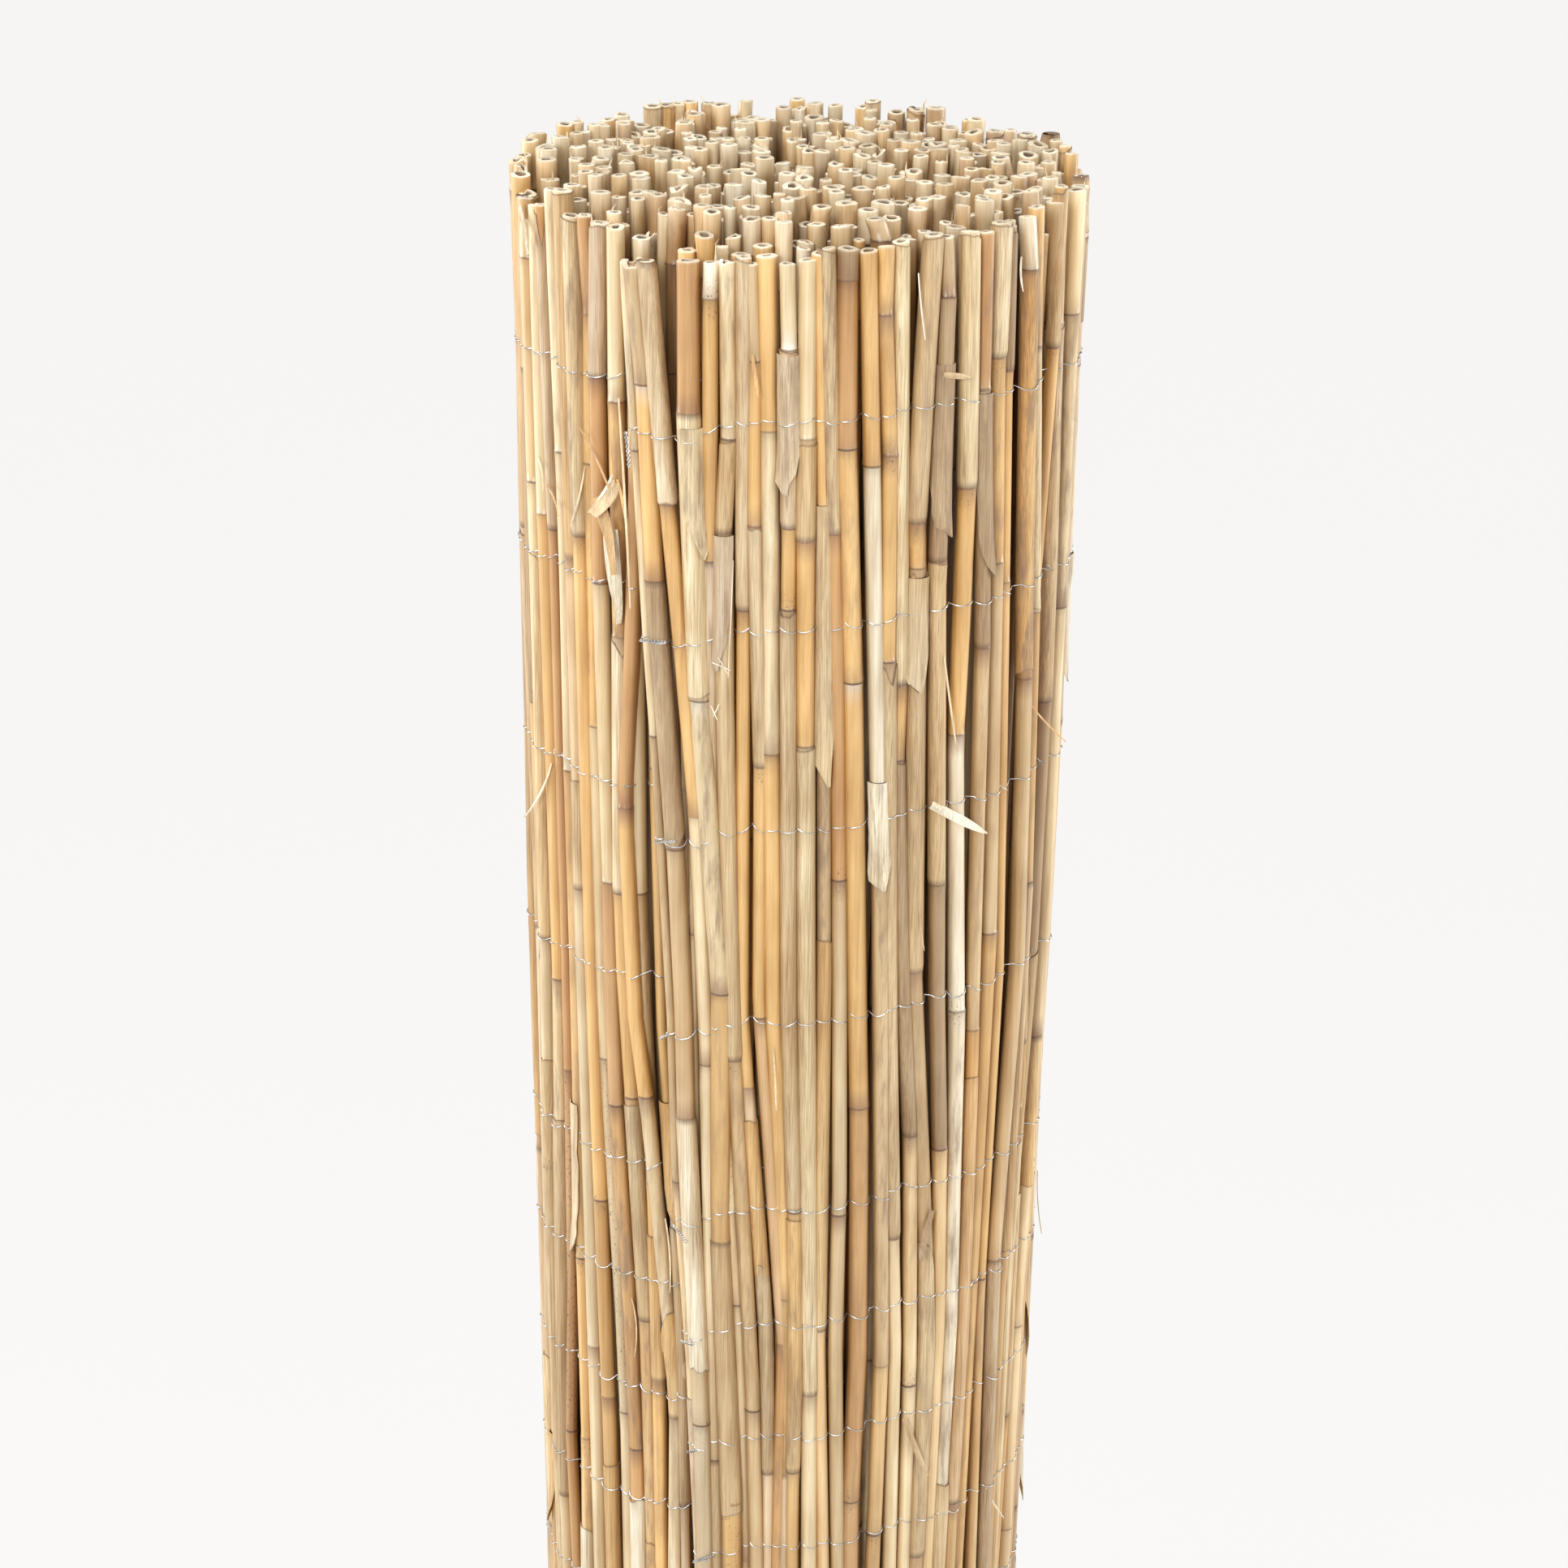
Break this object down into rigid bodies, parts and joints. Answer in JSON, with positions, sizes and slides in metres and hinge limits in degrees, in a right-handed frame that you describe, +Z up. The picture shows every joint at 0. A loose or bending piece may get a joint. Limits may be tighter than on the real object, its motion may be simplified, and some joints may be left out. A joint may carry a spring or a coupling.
{
  "type": "reed screening roll",
  "caption": "Mat of straw-coloured reeds woven on thin galvanised wire, rolled up and standing on its flush end.",
  "frame": {"origin": "middle of the roll's outline seen from above, on the flush lower end it stands on", "axes": "+Z up along the roll's axis; -Y is the side that shows the mat's free edge, a little to its left"},
  "size_m": [0.249, 0.2536, 1.5],
  "materials": {
    "outer_reed": "dry reed, glossy bare stem and matte leaf sheath, straw to grey-brown",
    "inner_reed": "dry reed with pale sawn ends",
    "wire": "thin galvanised wire, bright"
  },
  "bodies": {
    "root": {"reed_turn_01": "outer_reed", "reed_turn_02": "inner_reed", "reed_turn_03": "inner_reed", "reed_turn_04": "inner_reed", "reed_turn_05": "inner_reed", "reed_turn_06": "inner_reed", "reed_turn_07": "inner_reed", "reed_turn_08": "inner_reed", "reed_turn_09": "inner_reed", "reed_turn_10": "inner_reed", "wire_row_01": "wire", "wire_row_02": "wire", "wire_row_03": "wire", "wire_row_04": "wire", "wire_row_05": "wire", "wire_row_06": "wire", "wire_row_07": "wire", "wire_row_08": "wire", "wire_row_09": "wire", "wire_row_10": "wire", "wire_row_11": "wire", "wire_row_12": "wire", "wire_row_13": "wire", "wire_row_14": "wire", "wire_row_15": "wire", "wire_row_16": "wire", "wire_row_17": "wire", "wire_row_18": "wire", "wire_row_19": "wire", "wire_row_20": "wire"}
  },
  "joints": []
}
